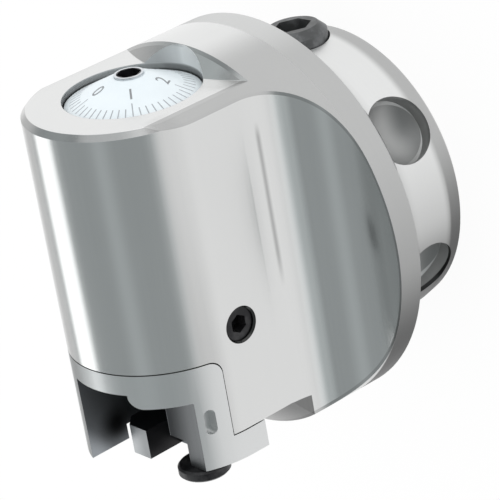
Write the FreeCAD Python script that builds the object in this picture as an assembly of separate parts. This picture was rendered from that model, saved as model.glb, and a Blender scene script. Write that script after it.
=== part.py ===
"""Fine boring head: a one-piece steel head with a dial, a micrometer screw and a tool slide.

Millimetres. +Z is the spindle axis, from the rear face of the coupling to the tip of the nose.
The dial looks out along +X, the tool slide leaves along -X, and the lock screw is on the -Y side.
The origin is the centre of the coupling's rear face.
"""
import FreeCAD, Part
import math
import os

# ---- Turned body ----
head_radius = 48.0
coupling_radius = 36.6
coupling_length = 25.0
coupling_band = 4.7            # length of the lead-in taper at the rear of the coupling
coupling_band_drop = 0.7       # how much smaller the taper is at its rear end
coupling_rear_chamfer = 0.8
disc_rear_chamfer = 1.2
rim_thickness = 7.4            # disc rim, from its rear edge to the side pockets
barrel_length = 20.6           # full diameter, from the disc's rear edge to the 45 degree shoulder

# ---- Nose ----
nose_half_width = 24.0
nose_length = 63.3             # from the disc's rear edge to the tip
side_fillet = 19.3             # concave fillet between the side flat and the rim
dial_flat_inset = 5.1           # each flat, inside the disc's full radius
base_flat_inset = 12.2
flat_chamfer = 1.3

# ---- Coupling ----
coupling_bore_radius = 23.0
coupling_bore_depth = 21.0
coupling_bore_chamfer = 1.0
pocket_count = 6
pocket_radius = 8.4
pocket_z = 11.5
pocket_first_angle = 2.2
pocket_wall_depth = 4.0
pocket_dish_radius = 10.5
clamp_head_radius = 8.0
clamp_head_chamfer = 1.9
clamp_head_length = 9.0
clamp_thread_radius = 6.0
clamp_head_rise = 3.2          # top of the clamp screw's head, above the coupling's outside
clamp_hex = 8.0
clamp_hex_depth = 3.8
clamp_pad_length = 1.8
drive_bush_circle = 29.4
drive_bush_radius = 4.0
drive_bush_bore = 2.5
drive_bush_length = 9.0

# ---- Coolant way ----
coolant_bush_radius = 5.0
coolant_bush_bore = 2.5
coolant_bush_length = 7.0
coolant_duct_radius = 1.6
coolant_angle = 158.8           # about the spindle axis
coolant_slope = 0.57
nozzle_radius = 2.5
nozzle_length = 5.0
nozzle_bore = 0.8
coolant_seal_radius = 8.3
seal_section_radius = 0.85     # section of every O-ring

# ---- Dial and micrometer screw ----
dial_axis_rise = 37.0          # every rise is from the disc's rear edge
dial_bore_radius = 16.3
dial_recess = 1.6
dial_rim_height = 6.0
dial_running_gap = 0.4
dial_top_radius = 3.9
dial_crown = 5.4
dial_hole_radius = 3.5
dial_bush_radius = 7.5
dial_bush_length = 4.6
index_ring_length = 2.0
index_ring_wall = 3.0
screw_head_rise = 0.5
screw_hex = 5.0
screw_hex_depth = 3.8
screw_shaft_radius = 5.0
screw_thread_radius = 4.9
screw_tip_reach = 17.5          # from the top of the slide's bore to the screw's tip
bearing_bore_radius = 12.0
bearing_depth = 27.9            # from the dial flat to the bearing's floor
screw_wall = 5.0               # between the bearing's floor and the slide's bore
race_thickness = 2.0
ball_radius = 1.5
ball_count = 12
ball_circle = 8.6
cage_thickness = 1.8
collar_radius = 11.0
collar_thickness = 4.0
washer_thickness = 1.5
spring_thickness = 0.8
spring_rise = 0.45
bearing_nut_thickness = 4.4

# ---- Tool slide ----
slide_radius = 13.0
slide_top_room = 2.0           # above the slide, in its bore
slide_travel = 5.0
slide_head_height = 26.2       # every height of the slide's head is from its bottom face
slide_head_rear_rise = 43.7
slide_corner_radius = 3.2
slide_foot_height = 6.9
slide_foot_rise = 34.6
slide_nut_radius = 8.4
slide_nut_length = 11.0
nut_retainer_length = 2.8
slide_seal_inset = 6.8         # from the slide's top to the middle of its seal
slide_key_length = 8.0
slide_key_width = 4.0
slide_key_height = 3.8
slide_key_inset = 2.8
slide_key_sink = 2.0

# ---- Seat of the insert holder ----
seat_height = 21.2
seat_near_y = -9.5
seat_far_y = 8.2
seat_back_rise = 45.0
near_flat_height = 17.7
near_flat_rise = 51.4
clamp_gap_height = 6.3
clamp_gap_y = -15.4            # the clamping gap runs from the seat to here
far_claw_heel_height = 3.8
far_claw_heel_rise = 50.6
side_slot_height = 12.0
side_slot_rise = 48.6
side_slot_length = 6.2
side_slot_width = 2.6
side_slot_depth = 2.0
holder_key_half_width = 4.5
holder_key_height = 7.4
holder_key_front_rise = 54.5
holder_key_chamfer = 3.0
key_screw_radius = 1.25
key_screw_head_radius = 2.4
key_screw_head_length = 2.4
key_screw_length = 15.0
holder_screw_y = -15.8
holder_screw_rise = 48.0
holder_screw_radius = 2.5
holder_screw_head_radius = 6.2
holder_screw_head_length = 2.6
holder_screw_chamfer = 0.5
holder_screw_grip = 10.0
holder_screw_hex = 3.0

# ---- Lock screw ----
lock_inset = 20.6              # from the top of the slide's bore
lock_rise = 36.5
lock_radius = 4.0
lock_sink = 0.9
lock_hex = 4.0
lock_hex_depth = 3.25
lock_chamfer = 0.45
lock_pad_length = 3.3
lock_gap = 0.2                 # between the lock screw and its pad

# ---- Clearances ----
fit = 0.05                     # radial clearance of turned pieces that seat or run in one another
play = 0.15                    # clearance of milled faces that slide past one another
slack = 0.3                    # free space at the end of a stroke
over = 1.0                     # how far a cutting tool runs past the face that it opens

# ---- Places that follow ----
dial_flat_x = head_radius - dial_flat_inset
base_flat_x = base_flat_inset - head_radius
dial_axis_z = coupling_length + dial_axis_rise
dial_rim_x = dial_flat_x - dial_recess
dial_top_x = dial_rim_x + dial_crown
screw_head_x = dial_top_x + screw_head_rise
bearing_floor_x = dial_flat_x - bearing_depth
slide_bore_top_x = bearing_floor_x - screw_wall
slide_top_x = slide_bore_top_x - slide_top_room
slide_seal_x = slide_top_x - slide_seal_inset
screw_tip_x = slide_bore_top_x - screw_tip_reach
lock_x = slide_bore_top_x - lock_inset
slide_bottom_x = base_flat_x - slide_foot_height
slide_foot_z = coupling_length + slide_foot_rise
slide_head_top_x = slide_bottom_x + slide_head_height
slide_head_rear_z = coupling_length + slide_head_rear_rise
slide_key_end_x = base_flat_x + slide_key_inset
seat_top_x = slide_bottom_x + seat_height
seat_back_z = coupling_length + seat_back_rise
near_flat_top_x = slide_bottom_x + near_flat_height
near_flat_z = coupling_length + near_flat_rise
near_block_bottom_x = slide_bottom_x + clamp_gap_height
far_claw_heel_x = slide_bottom_x + far_claw_heel_height
far_claw_heel_z = coupling_length + far_claw_heel_rise
side_slot_x = slide_bottom_x + side_slot_height
side_slot_z = coupling_length + side_slot_rise
holder_key_top_x = slide_bottom_x + holder_key_height
holder_key_front_z = coupling_length + holder_key_front_rise
holder_screw_z = coupling_length + holder_screw_rise
lock_z = coupling_length + lock_rise
rim_z = coupling_length + rim_thickness
shoulder_z = coupling_length + barrel_length
tip_z = coupling_length + nose_length
tip_centre_z = tip_z - nose_half_width
coupling_floor_z = coupling_bore_depth
clamp_reach = coupling_radius + clamp_head_rise
dial_bottom_x = dial_rim_x - dial_rim_height
dial_floor_x = dial_bottom_x - slack - index_ring_length
race_top_x = bearing_floor_x + race_thickness
collar_bottom_x = race_top_x + 2 * ball_radius + fit
collar_top_x = collar_bottom_x + collar_thickness
washer_bottom_x = collar_top_x + fit
springs_bottom_x = washer_bottom_x + washer_thickness
springs_top_x = springs_bottom_x + 2 * (spring_thickness + spring_rise)
nut_top_x = slide_top_x - nut_retainer_length - fit
holder_screw_head_top_x = slide_bottom_x - play
lock_pad_outer_y = -slide_radius - 2 * fit - lock_pad_length
lock_outer_y = -nose_half_width + lock_sink
lock_length = lock_pad_outer_y - lock_outer_y - lock_gap

X = FreeCAD.Vector(1, 0, 0)
Y = FreeCAD.Vector(0, 1, 0)
Z = FreeCAD.Vector(0, 0, 1)


def point(x, y, z):
    return FreeCAD.Vector(x, y, z)


def rod(start, direction, radius, length):
    """A cylinder from start along direction."""
    return Part.makeCylinder(radius, length, start, direction)


def rod_x(x0, x1, radius, y=0.0, z=dial_axis_z):
    return rod(point(x0, y, z), X, radius, x1 - x0)


def ring_x(x0, x1, outer, inner, y=0.0, z=dial_axis_z):
    return rod_x(x0, x1, outer, y, z).cut(rod_x(x0 - over, x1 + over, inner, y, z))


def block(x0, x1, y0, y1, z0, z1):
    return Part.makeBox(x1 - x0, y1 - y0, z1 - z0, point(x0, y0, z0))


def hexagon(start, direction, across_flats, length):
    """A hexagonal prism from start along direction."""
    corner_radius = across_flats / math.sqrt(3.0)
    side = Z if abs(direction.dot(Z)) < 0.9 else X
    first = direction.cross(side)
    first.normalize()
    second = direction.cross(first)
    second.normalize()
    corners = []
    for k in range(7):
        angle = math.radians(60 * k)
        arm = first * math.cos(angle) + second * math.sin(angle)
        corners.append(start + arm * corner_radius)
    unit = FreeCAD.Vector(direction)
    unit.normalize()
    return Part.Face(Part.makePolygon(corners)).extrude(unit * length)


def turned(profile, axis_point, axis):
    """Revolve a closed profile of points about an axis."""
    face = Part.Face(Part.makePolygon(profile + [profile[0]]))
    return face.revolve(axis_point, axis, 360)


def turned_x(steps):
    """A solid turned about the dial axis from (x, radius) steps."""
    profile = [point(steps[0][0], 0, dial_axis_z)]
    profile += [point(x, 0, dial_axis_z + radius) for x, radius in steps]
    profile.append(point(steps[-1][0], 0, dial_axis_z))
    return turned(profile, point(0, 0, dial_axis_z), X)


def o_ring(centre, direction, ring_radius):
    return Part.makeTorus(ring_radius, seal_section_radius, centre, direction)


def radial(angle_deg, z, distance):
    """The point at a distance from the spindle axis, and the outward direction there."""
    angle = math.radians(angle_deg)
    outward = point(math.cos(angle), math.sin(angle), 0)
    return outward * distance + point(0, 0, z), outward


def nose_prism(x0, x1):
    """The round-nosed profile that the nose and the slide's head share."""
    w = nose_half_width
    low = slide_foot_z
    right = Part.LineSegment(point(x0, w, low), point(x0, w, tip_centre_z)).toShape()
    tip = Part.Arc(point(x0, w, tip_centre_z), point(x0, 0, tip_z), point(x0, -w, tip_centre_z)).toShape()
    left = Part.LineSegment(point(x0, -w, tip_centre_z), point(x0, -w, low)).toShape()
    base = Part.LineSegment(point(x0, -w, low), point(x0, w, low)).toShape()
    return Part.Face(Part.Wire([right, tip, left, base])).extrude(point(x1 - x0, 0, 0))


def side_profile():
    """The outline of the disc, the concave side fillets and the nose, seen along X."""
    edge = head_radius + over
    w, f = nose_half_width, side_fillet
    reach = f * math.sqrt(0.5)

    def at(y, z):
        return point(-edge, y, z)

    def concave(side):
        middle = at(side * (w + f - reach), rim_z + f - reach)
        return Part.Arc(at(side * (w + f), rim_z), middle, at(side * w, rim_z + f)).toShape()

    def line(a, b):
        return Part.LineSegment(at(*a), at(*b)).toShape()

    rear_z = coupling_length - over
    tip = Part.Arc(at(w, tip_centre_z), at(0, tip_z), at(-w, tip_centre_z)).toShape()
    edges = [
        line((edge, rear_z), (edge, rim_z)), line((edge, rim_z), (w + f, rim_z)), concave(1),
        line((w, rim_z + f), (w, tip_centre_z)), tip, line((-w, tip_centre_z), (-w, rim_z + f)), concave(-1),
        line((-w - f, rim_z), (-edge, rim_z)), line((-edge, rim_z), (-edge, rear_z)),
        line((-edge, rear_z), (edge, rear_z)),
    ]
    return Part.Face(Part.Wire(Part.__sortEdges__(edges))).extrude(point(2 * edge, 0, 0))


def flat_cutter(x0, x1):
    """What is milled off outside a flat, up to the 45 degree shoulder behind it."""
    edge = head_radius + over
    blank = block(x0, x1, -edge, edge, shoulder_z, tip_z + over)
    shoulder = Part.makeCone(head_radius, 0, head_radius, point(0, 0, shoulder_z), Z)
    return blank.cut(shoulder)


def tip_chamfer_cutter():
    """Breaks the rounded front edge of the dial flat."""
    start_x = dial_flat_x - flat_chamfer
    reach = flat_chamfer + over
    ring = rod_x(start_x, start_x + reach, nose_half_width + over, 0.0, tip_centre_z)
    centre = point(start_x, 0, tip_centre_z)
    taper = Part.makeCone(nose_half_width, nose_half_width - reach, reach, centre, X)
    edge = nose_half_width + 2 * over
    front = block(start_x - over, start_x + reach + over, -edge, edge, tip_centre_z, tip_z + 2 * over)
    return ring.cut(taper).common(front)


def turned_blank():
    """The coupling ring and the disc, turned about the spindle axis."""
    rear_radius = coupling_radius - coupling_band_drop
    steps = [
        (0, 0), (rear_radius - coupling_rear_chamfer, 0), (rear_radius, coupling_rear_chamfer),
        (coupling_radius, coupling_band), (coupling_radius, coupling_length),
        (head_radius - disc_rear_chamfer, coupling_length),
        (head_radius, coupling_length + disc_rear_chamfer),
        (head_radius, tip_z), (0, tip_z),
    ]
    return turned([point(r, 0, z) for r, z in steps], point(0, 0, 0), Z)


def pocket(angle_deg):
    """A round pocket with a dished floor in the outside of the coupling."""
    floor_radius = coupling_radius - pocket_wall_depth
    start, outward = radial(angle_deg, pocket_z, floor_radius)
    wall = rod(start, outward, pocket_radius, pocket_wall_depth + over)
    dish_offset = math.sqrt(pocket_dish_radius ** 2 - pocket_radius ** 2)
    centre, outward = radial(angle_deg, pocket_z, floor_radius + dish_offset)
    dish = Part.makeSphere(pocket_dish_radius, centre)
    bound = rod(start - outward * pocket_dish_radius, outward, pocket_radius, pocket_dish_radius)
    return wall.fuse(dish.common(bound))


def pocket_angles():
    return [pocket_first_angle - k * 360.0 / pocket_count for k in range(pocket_count)]


def drive_bush_angles():
    """Midway between two pockets, on both sides of the spindle axis."""
    half_pitch = 180.0 / pocket_count
    return [pocket_first_angle - half_pitch, pocket_first_angle - half_pitch + 180.0]


def clamp_seat_distance():
    return clamp_reach - clamp_head_length


def coolant_line():
    """From the front of the coolant bush out through the 45 degree shoulder."""
    start = point(0, 0, coupling_floor_z + coolant_bush_length)
    reach = (head_radius + shoulder_z - start.z) / (1 + coolant_slope)
    angle = math.radians(coolant_angle)
    end = start + point(reach * math.cos(angle), reach * math.sin(angle), reach * coolant_slope)
    direction = end - start
    length = direction.Length
    direction.normalize()
    return start, end, direction, length


def cut_coupling(body):
    mouth = coupling_bore_radius + coupling_bore_chamfer
    tools = [
        rod(point(0, 0, -over), Z, coupling_bore_radius, coupling_bore_depth + over),
        Part.makeCone(mouth, coupling_bore_radius, coupling_bore_chamfer, point(0, 0, 0), Z),
    ]
    tools += [pocket(angle) for angle in pocket_angles()[1:]]
    seat, outward = radial(pocket_first_angle, pocket_z, clamp_seat_distance())
    tools.append(rod(seat, outward, pocket_radius, clamp_head_length))
    inner, outward = radial(pocket_first_angle, pocket_z, coupling_bore_radius - over)
    wall = clamp_seat_distance() - coupling_bore_radius
    tools.append(rod(inner, outward, clamp_thread_radius, wall + 2 * over))
    for angle in drive_bush_angles():
        place, _ = radial(angle, -over, drive_bush_circle)
        tools.append(rod(place, Z, drive_bush_radius, drive_bush_length + over))
    return body.cut(tools)


def cut_coolant(body):
    start, end, direction, length = coolant_line()
    floor = point(0, 0, coupling_floor_z)
    half = seal_section_radius + fit
    groove = rod(floor, Z, coolant_seal_radius + half, 2 * seal_section_radius)
    groove = groove.cut(rod(floor, Z, coolant_seal_radius - half, 2 * seal_section_radius))
    tools = [
        rod(floor - Z * over, Z, coolant_bush_radius, coolant_bush_length + over),
        rod(start - direction * coolant_duct_radius, direction, coolant_duct_radius, length),
        rod(end - direction * nozzle_length, direction, nozzle_radius, nozzle_length + 3 * over),
        groove,
    ]
    return body.cut(tools)


def cut_dial_bores(body):
    return body.cut([
        rod_x(dial_floor_x, head_radius, dial_bore_radius),
        rod_x(bearing_floor_x, dial_floor_x + over, bearing_bore_radius),
        rod_x(slide_bore_top_x - over, bearing_floor_x + over, screw_shaft_radius + slack),
        rod_x(-head_radius - over, slide_bore_top_x, slide_radius),
    ])


def slide_head_notch():
    """The step in the nose that the slide's head fills."""
    top = slide_head_top_x + slack
    edge = nose_half_width + over
    notch = block(base_flat_x - over, top, -edge, edge, slide_head_rear_z, tip_z + over)
    corner = [e for e in notch.Edges
              if all(abs(v.X - top) < 1e-6 and abs(v.Z - slide_head_rear_z) < 1e-6 for v in e.Vertexes)]
    return notch.makeFillet(slide_corner_radius, corner)


def slide_key_box(clearance):
    bottom = dial_axis_z - slide_radius - slide_key_sink
    half = slide_key_width / 2 + clearance
    return block(slide_key_end_x - clearance, slide_key_end_x + slide_key_length + clearance, -half, half,
                 bottom - clearance, bottom + slide_key_height)


def cut_lock(body):
    side = -nose_half_width
    depth = nose_half_width - slide_radius + over
    start = point(lock_x, side, lock_z)
    mouth = Part.makeCone(lock_radius + lock_chamfer, lock_radius, lock_chamfer, start, Y)
    return body.cut([rod(start - Y * over, Y, lock_radius, depth + 2 * over), mouth])


def head_body():
    body = turned_blank().common(side_profile().fuse(rod(point(0, 0, 0), Z, head_radius, coupling_length)))
    edge = head_radius + over
    body = body.cut([flat_cutter(dial_flat_x, edge), flat_cutter(-edge, base_flat_x), tip_chamfer_cutter()])
    body = cut_coupling(body)
    body = cut_coolant(body)
    body = cut_dial_bores(body)
    body = body.cut([slide_head_notch(), slide_key_box(fit)])
    return cut_lock(body)


def index_ring():
    outer = dial_bore_radius - fit
    return ring_x(dial_floor_x, dial_floor_x + index_ring_length, outer, outer - index_ring_wall)


def graduated_dial():
    outer = dial_bore_radius - dial_running_gap
    solid = turned_x([(dial_bottom_x, outer), (dial_rim_x, outer), (dial_top_x, dial_top_radius)])
    groove_x = (dial_bottom_x + dial_rim_x) / 2
    groove_depth = 2 * seal_section_radius - (dial_running_gap - play)
    half = seal_section_radius + fit
    groove = ring_x(groove_x - half, groove_x + half, outer + over, outer - groove_depth)
    return solid.cut([
        rod_x(dial_bottom_x - over, dial_top_x + over, dial_hole_radius),
        rod_x(dial_bottom_x - over, dial_bottom_x + dial_bush_length, dial_bush_radius),
        groove,
    ])


def dial_seal():
    groove_x = (dial_bottom_x + dial_rim_x) / 2
    return o_ring(point(groove_x, 0, dial_axis_z), X, dial_bore_radius - play - seal_section_radius)


def dial_bush():
    return ring_x(dial_bottom_x, dial_bottom_x + dial_bush_length - fit, dial_bush_radius - fit,
                  screw_shaft_radius)


def micrometer_screw():
    journal, neck = screw_shaft_radius - fit, dial_hole_radius - fit
    journal_end_x = dial_bottom_x + dial_bush_length - fit
    steps = [
        (screw_tip_x, screw_thread_radius - 0.8), (screw_tip_x + 0.8, screw_thread_radius),
        (slide_bore_top_x, screw_thread_radius), (slide_bore_top_x, screw_shaft_radius),
        (collar_bottom_x, screw_shaft_radius), (collar_bottom_x, collar_radius),
        (collar_top_x, collar_radius), (collar_top_x, screw_shaft_radius),
        (dial_bottom_x, screw_shaft_radius), (dial_bottom_x, journal),
        (journal_end_x, journal), (journal_end_x, neck), (screw_head_x, neck),
    ]
    socket = hexagon(point(screw_head_x + over, 0, dial_axis_z), X * -1, screw_hex, screw_hex_depth + over)
    return turned_x(steps).cut(socket)


def thrust_race():
    return ring_x(bearing_floor_x, race_top_x, bearing_bore_radius - fit, screw_shaft_radius + slack)


def ball_places():
    middle = race_top_x + ball_radius
    for k in range(ball_count):
        angle = 2 * math.pi * k / ball_count
        yield point(middle, ball_circle * math.cos(angle), dial_axis_z + ball_circle * math.sin(angle))


def thrust_balls():
    return Part.makeCompound([Part.makeSphere(ball_radius - fit / 5, place) for place in ball_places()])


def ball_cage():
    middle = race_top_x + ball_radius
    half = cage_thickness / 2
    cage = ring_x(middle - half, middle + half, bearing_bore_radius - 0.5, screw_shaft_radius + 0.6)
    return cage.cut([rod_x(middle - ball_radius, middle + ball_radius, ball_radius + fit, place.y, place.z)
                     for place in ball_places()])


def thrust_washer():
    return ring_x(washer_bottom_x, springs_bottom_x, bearing_bore_radius - fit, screw_shaft_radius + slack)


def preload_springs():
    """Two cone springs, their rims together."""
    inner, outer = screw_shaft_radius + slack, bearing_bore_radius - 0.4
    x0, t, rise = springs_bottom_x, spring_thickness, spring_rise
    lower = [(x0, inner), (x0 + rise, outer), (x0 + rise + t, outer), (x0 + t, inner)]
    top = springs_top_x
    upper = [(top - x + x0, radius) for x, radius in lower]

    def cone(profile):
        corners = [point(x, 0, dial_axis_z + radius) for x, radius in profile]
        return turned(corners, point(0, 0, dial_axis_z), X)

    return Part.makeCompound([cone(lower), cone(upper)])


def bearing_nut():
    top = springs_top_x + bearing_nut_thickness
    outer = bearing_bore_radius - fit
    nut = ring_x(springs_top_x, top, outer, screw_shaft_radius + slack)
    low, high = dial_axis_z - outer - over, dial_axis_z + outer + over
    slots = []
    for turn in (0, 90):
        slot = block(top - 1.5, top + over, -1.5, 1.5, low, high)
        slot.rotate(point(0, 0, dial_axis_z), X, turn)
        slots.append(slot)
    return nut.cut(slots)


def slide_nut():
    return ring_x(nut_top_x - slide_nut_length, nut_top_x, slide_nut_radius - fit, screw_thread_radius + fit)


def nut_retainer():
    retainer = ring_x(nut_top_x + fit, slide_top_x, slide_nut_radius - fit, screw_shaft_radius + slack)
    slot = block(slide_top_x - 1.2, slide_top_x + over, -1.0, 1.0, dial_axis_z - 2 * slide_nut_radius,
                 dial_axis_z + 2 * slide_nut_radius)
    return retainer.cut(slot)


def slide_seal():
    return o_ring(point(slide_seal_x, 0, dial_axis_z), X, slide_radius - 2 * fit - seal_section_radius)


def slide_head():
    """The round-nosed head of the slide with its foot, before the seat is cut."""
    full = nose_prism(slide_bottom_x, slide_head_top_x)
    edge = nose_half_width + over
    upper = block(slide_bottom_x, slide_head_top_x, -edge, edge, slide_head_rear_z + play, tip_z + over)
    corner = [e for e in upper.Edges
              if all(abs(v.X - slide_head_top_x) < 1e-6 and abs(v.Z - slide_head_rear_z - play) < 1e-6
                     for v in e.Vertexes)]
    upper = upper.makeFillet(slide_corner_radius, corner)
    foot = block(slide_bottom_x, base_flat_x - slack, -edge, edge, slide_foot_z, slide_head_rear_z + over)
    return full.common(upper.fuse(foot))


def rounded_flat_cutter():
    """Mills the near claw's front flat, with one rounded corner beside the seat."""
    edge = nose_half_width + over
    front = tip_z + over
    cutter = block(slide_bottom_x - over, near_flat_top_x, -edge, seat_near_y + over, near_flat_z, front)
    rise = seat_top_x - near_flat_top_x
    corner = block(near_flat_top_x, seat_top_x, seat_near_y - rise, seat_near_y, near_flat_z, front)
    round_off = rod(point(near_flat_top_x + rise, seat_near_y - rise, near_flat_z - over), Z, rise, tip_z)
    return cutter.fuse(corner.cut(round_off))


def side_slot():
    """A blind slot with round ends in the outside of the near claw."""
    r = side_slot_width / 2
    half = side_slot_length / 2 - r
    surface_y = -math.sqrt(nose_half_width ** 2 - (side_slot_z - tip_centre_z) ** 2)
    y0, y1 = surface_y - side_slot_depth, surface_y + side_slot_depth
    middle = block(side_slot_x - half, side_slot_x + half, y0, y1, side_slot_z - r, side_slot_z + r)
    ends = [rod(point(side_slot_x + s * half, y0, side_slot_z), Y, r, y1 - y0) for s in (-1, 1)]
    return middle.fuse(ends)


def tool_slide():
    bar = rod_x(base_flat_x, slide_top_x, slide_radius - fit)
    solid = bar.fuse(slide_head()).removeSplitter()
    low, high, edge = slide_bottom_x - over, tip_z + over, nose_half_width + over
    key_room = slide_key_box(2 * fit)
    far_end = slide_key_end_x + slide_key_length + slide_travel + slack
    half = slide_key_width / 2 + 2 * fit
    key_slot = block(slide_key_end_x - slack, far_end, -half, half, dial_axis_z - slide_radius - over,
                     key_room.BoundBox.ZMax + play)
    groove = ring_x(slide_seal_x - seal_section_radius - fit, slide_seal_x + seal_section_radius + fit,
                    slide_radius + over, slide_radius - 2 * fit - 2 * seal_section_radius)
    screw_x, screw_end = slide_bottom_x - over, near_block_bottom_x + holder_screw_grip
    key_hole = rod(point(holder_key_middle_x(), 0, slide_foot_z - over), Z, key_screw_radius + fit,
                   seat_back_z - slide_foot_z + 2 * over)
    key_sink = rod(point(holder_key_middle_x(), 0, slide_foot_z - over), Z, key_screw_head_radius + fit,
                   key_screw_head_length + over)
    return solid.cut([
        rod_x(nut_top_x - slide_nut_length, slide_top_x + over, slide_nut_radius),
        rod_x(screw_tip_x - slack * 3, slide_top_x, screw_shaft_radius + slack),
        key_slot, groove,
        block(low, seat_top_x, seat_near_y, seat_far_y, seat_back_z, high),
        rounded_flat_cutter(),
        block(low, near_block_bottom_x, clamp_gap_y, seat_near_y + over, seat_back_z, high),
        block(low, far_claw_heel_x, seat_far_y - over, edge, seat_back_z, far_claw_heel_z),
        side_slot(), key_hole, key_sink,
        rod_x(screw_x, screw_end, holder_screw_radius + fit, holder_screw_y, holder_screw_z),
    ])


def holder_key_middle_x():
    return (holder_key_top_x + slide_bottom_x) / 2


def holder_key():
    w = holder_key_half_width
    key = block(slide_bottom_x, holder_key_top_x, -w, w, seat_back_z, holder_key_front_z)
    corner = [e for e in key.Edges
              if all(abs(v.Y - w) < 1e-6 and abs(v.Z - holder_key_front_z) < 1e-6 for v in e.Vertexes)]
    key = key.makeChamfer(holder_key_chamfer, corner)
    depth = slide_foot_z + key_screw_length - seat_back_z + slack
    start = point(holder_key_middle_x(), 0, seat_back_z - over)
    return key.cut(rod(start, Z, key_screw_radius + fit, depth + over))


def key_screw():
    start = point(holder_key_middle_x(), 0, slide_foot_z)
    shank = rod(start, Z, key_screw_radius, key_screw_length)
    head = rod(start, Z, key_screw_head_radius, key_screw_head_length)
    socket = hexagon(start - Z * over, Z, 2.0, over + 1.2)
    return head.fuse(shank).cut(socket)


def holder_clamp_screw():
    top = near_block_bottom_x + holder_screw_grip - slack
    bottom = holder_screw_head_top_x - holder_screw_head_length
    shank = rod_x(holder_screw_head_top_x, top, holder_screw_radius, holder_screw_y, holder_screw_z)
    head = rod_x(bottom, holder_screw_head_top_x, holder_screw_head_radius, holder_screw_y, holder_screw_z)
    rims = [e for e in head.Edges if len(e.Vertexes) == 1]
    head = head.makeChamfer(holder_screw_chamfer, rims)
    socket = hexagon(point(bottom - over, holder_screw_y, holder_screw_z), X, holder_screw_hex, over + 1.9)
    return head.fuse(shank).removeSplitter().cut(socket)


def slide_key():
    return slide_key_box(0)


def lock_screw():
    screw = rod(point(lock_x, lock_outer_y, lock_z), Y, lock_radius - fit, lock_length)
    return screw.cut(hexagon(point(lock_x, lock_outer_y - over, lock_z), Y, lock_hex, over + lock_hex_depth))


def lock_pad():
    return rod(point(lock_x, lock_pad_outer_y, lock_z), Y, lock_radius - fit, lock_pad_length)


def coupling_clamp_screw():
    seat, outward = radial(pocket_first_angle, pocket_z, clamp_seat_distance() + 2 * fit)
    head = rod(seat, outward, clamp_head_radius, clamp_head_length)
    top_rim = [e for e in head.Edges if len(e.Vertexes) == 1
               and e.CenterOfMass.dot(outward) > clamp_reach - clamp_head_length / 2]
    head = head.makeChamfer(clamp_head_chamfer, top_rim)
    tip, outward = radial(pocket_first_angle, pocket_z, coupling_bore_radius + clamp_pad_length + 4 * fit)
    shank = rod(tip, outward, clamp_thread_radius - fit, clamp_seat_distance() - coupling_bore_radius)
    top = seat + outward * (clamp_head_length + over)
    socket = hexagon(top, outward * -1, clamp_hex, clamp_hex_depth + over)
    return head.fuse(shank).removeSplitter().cut(socket)


def clamp_thrust_pad():
    start, outward = radial(pocket_first_angle, pocket_z, coupling_bore_radius + 2 * fit)
    return rod(start, outward, clamp_thread_radius - fit, clamp_pad_length)


def drive_bushes():
    bushes = []
    for angle in drive_bush_angles():
        place, _ = radial(angle, 0, drive_bush_circle)
        bush = rod(place, Z, drive_bush_radius - fit, drive_bush_length)
        bushes.append(bush.cut(rod(place - Z * over, Z, drive_bush_bore, drive_bush_length + 2 * over)))
    return Part.makeCompound(bushes)


def coolant_bush():
    start = point(0, 0, coupling_floor_z)
    bush = rod(start, Z, coolant_bush_radius - fit, coolant_bush_length)
    return bush.cut(rod(start - Z * over, Z, coolant_bush_bore, coolant_bush_length + 2 * over))


def coolant_seal():
    return o_ring(point(0, 0, coupling_floor_z + seal_section_radius), Z, coolant_seal_radius)


def coolant_nozzle():
    start, end, direction, length = coolant_line()
    inner = end - direction * nozzle_length
    nozzle = rod(inner, direction, nozzle_radius - fit, nozzle_length - 1.5)
    return nozzle.cut(rod(inner - direction * over, direction, nozzle_bore, nozzle_length + 2 * over))


NODES = [
    head_body, index_ring, graduated_dial, dial_seal, dial_bush, micrometer_screw, thrust_race, thrust_balls,
    ball_cage, thrust_washer, preload_springs, bearing_nut, slide_nut, nut_retainer, slide_seal, tool_slide,
    holder_key, key_screw, holder_clamp_screw, slide_key, lock_screw, lock_pad, coupling_clamp_screw,
    clamp_thrust_pad, drive_bushes, coolant_bush, coolant_seal, coolant_nozzle,
]

os.makedirs("parts", exist_ok=True)
for make in NODES:
    shape = make()
    if not shape.isValid() or not shape.Solids:
        raise ValueError(f"{make.__name__} is not a valid solid")
    shape.exportStep(f"parts/{make.__name__}.step")
    box = shape.BoundBox
    spans = f"x {box.XMin:7.2f} {box.XMax:7.2f}  y {box.YMin:7.2f} {box.YMax:7.2f}"
    spans += f"  z {box.ZMin:7.2f} {box.ZMax:7.2f}"
    print(f"{make.__name__:22s} solids {len(shape.Solids):2d}  volume {shape.Volume:10.1f}  {spans}")
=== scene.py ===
"""Looks of a fine boring head: its finishes, its dial's marks and the studio that it stands in.

Metres, in the frame of the solids: +Z is the spindle axis, and the coupling's rear face stands on
the floor. The dial looks out along +X, and the lock screw is on the -Y side.
"""
import logging
import math
from dataclasses import dataclass, field, replace
from enum import Enum
from typing import Any, ClassVar, Optional, Union

import bpy
from mathutils import Matrix, Vector


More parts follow.
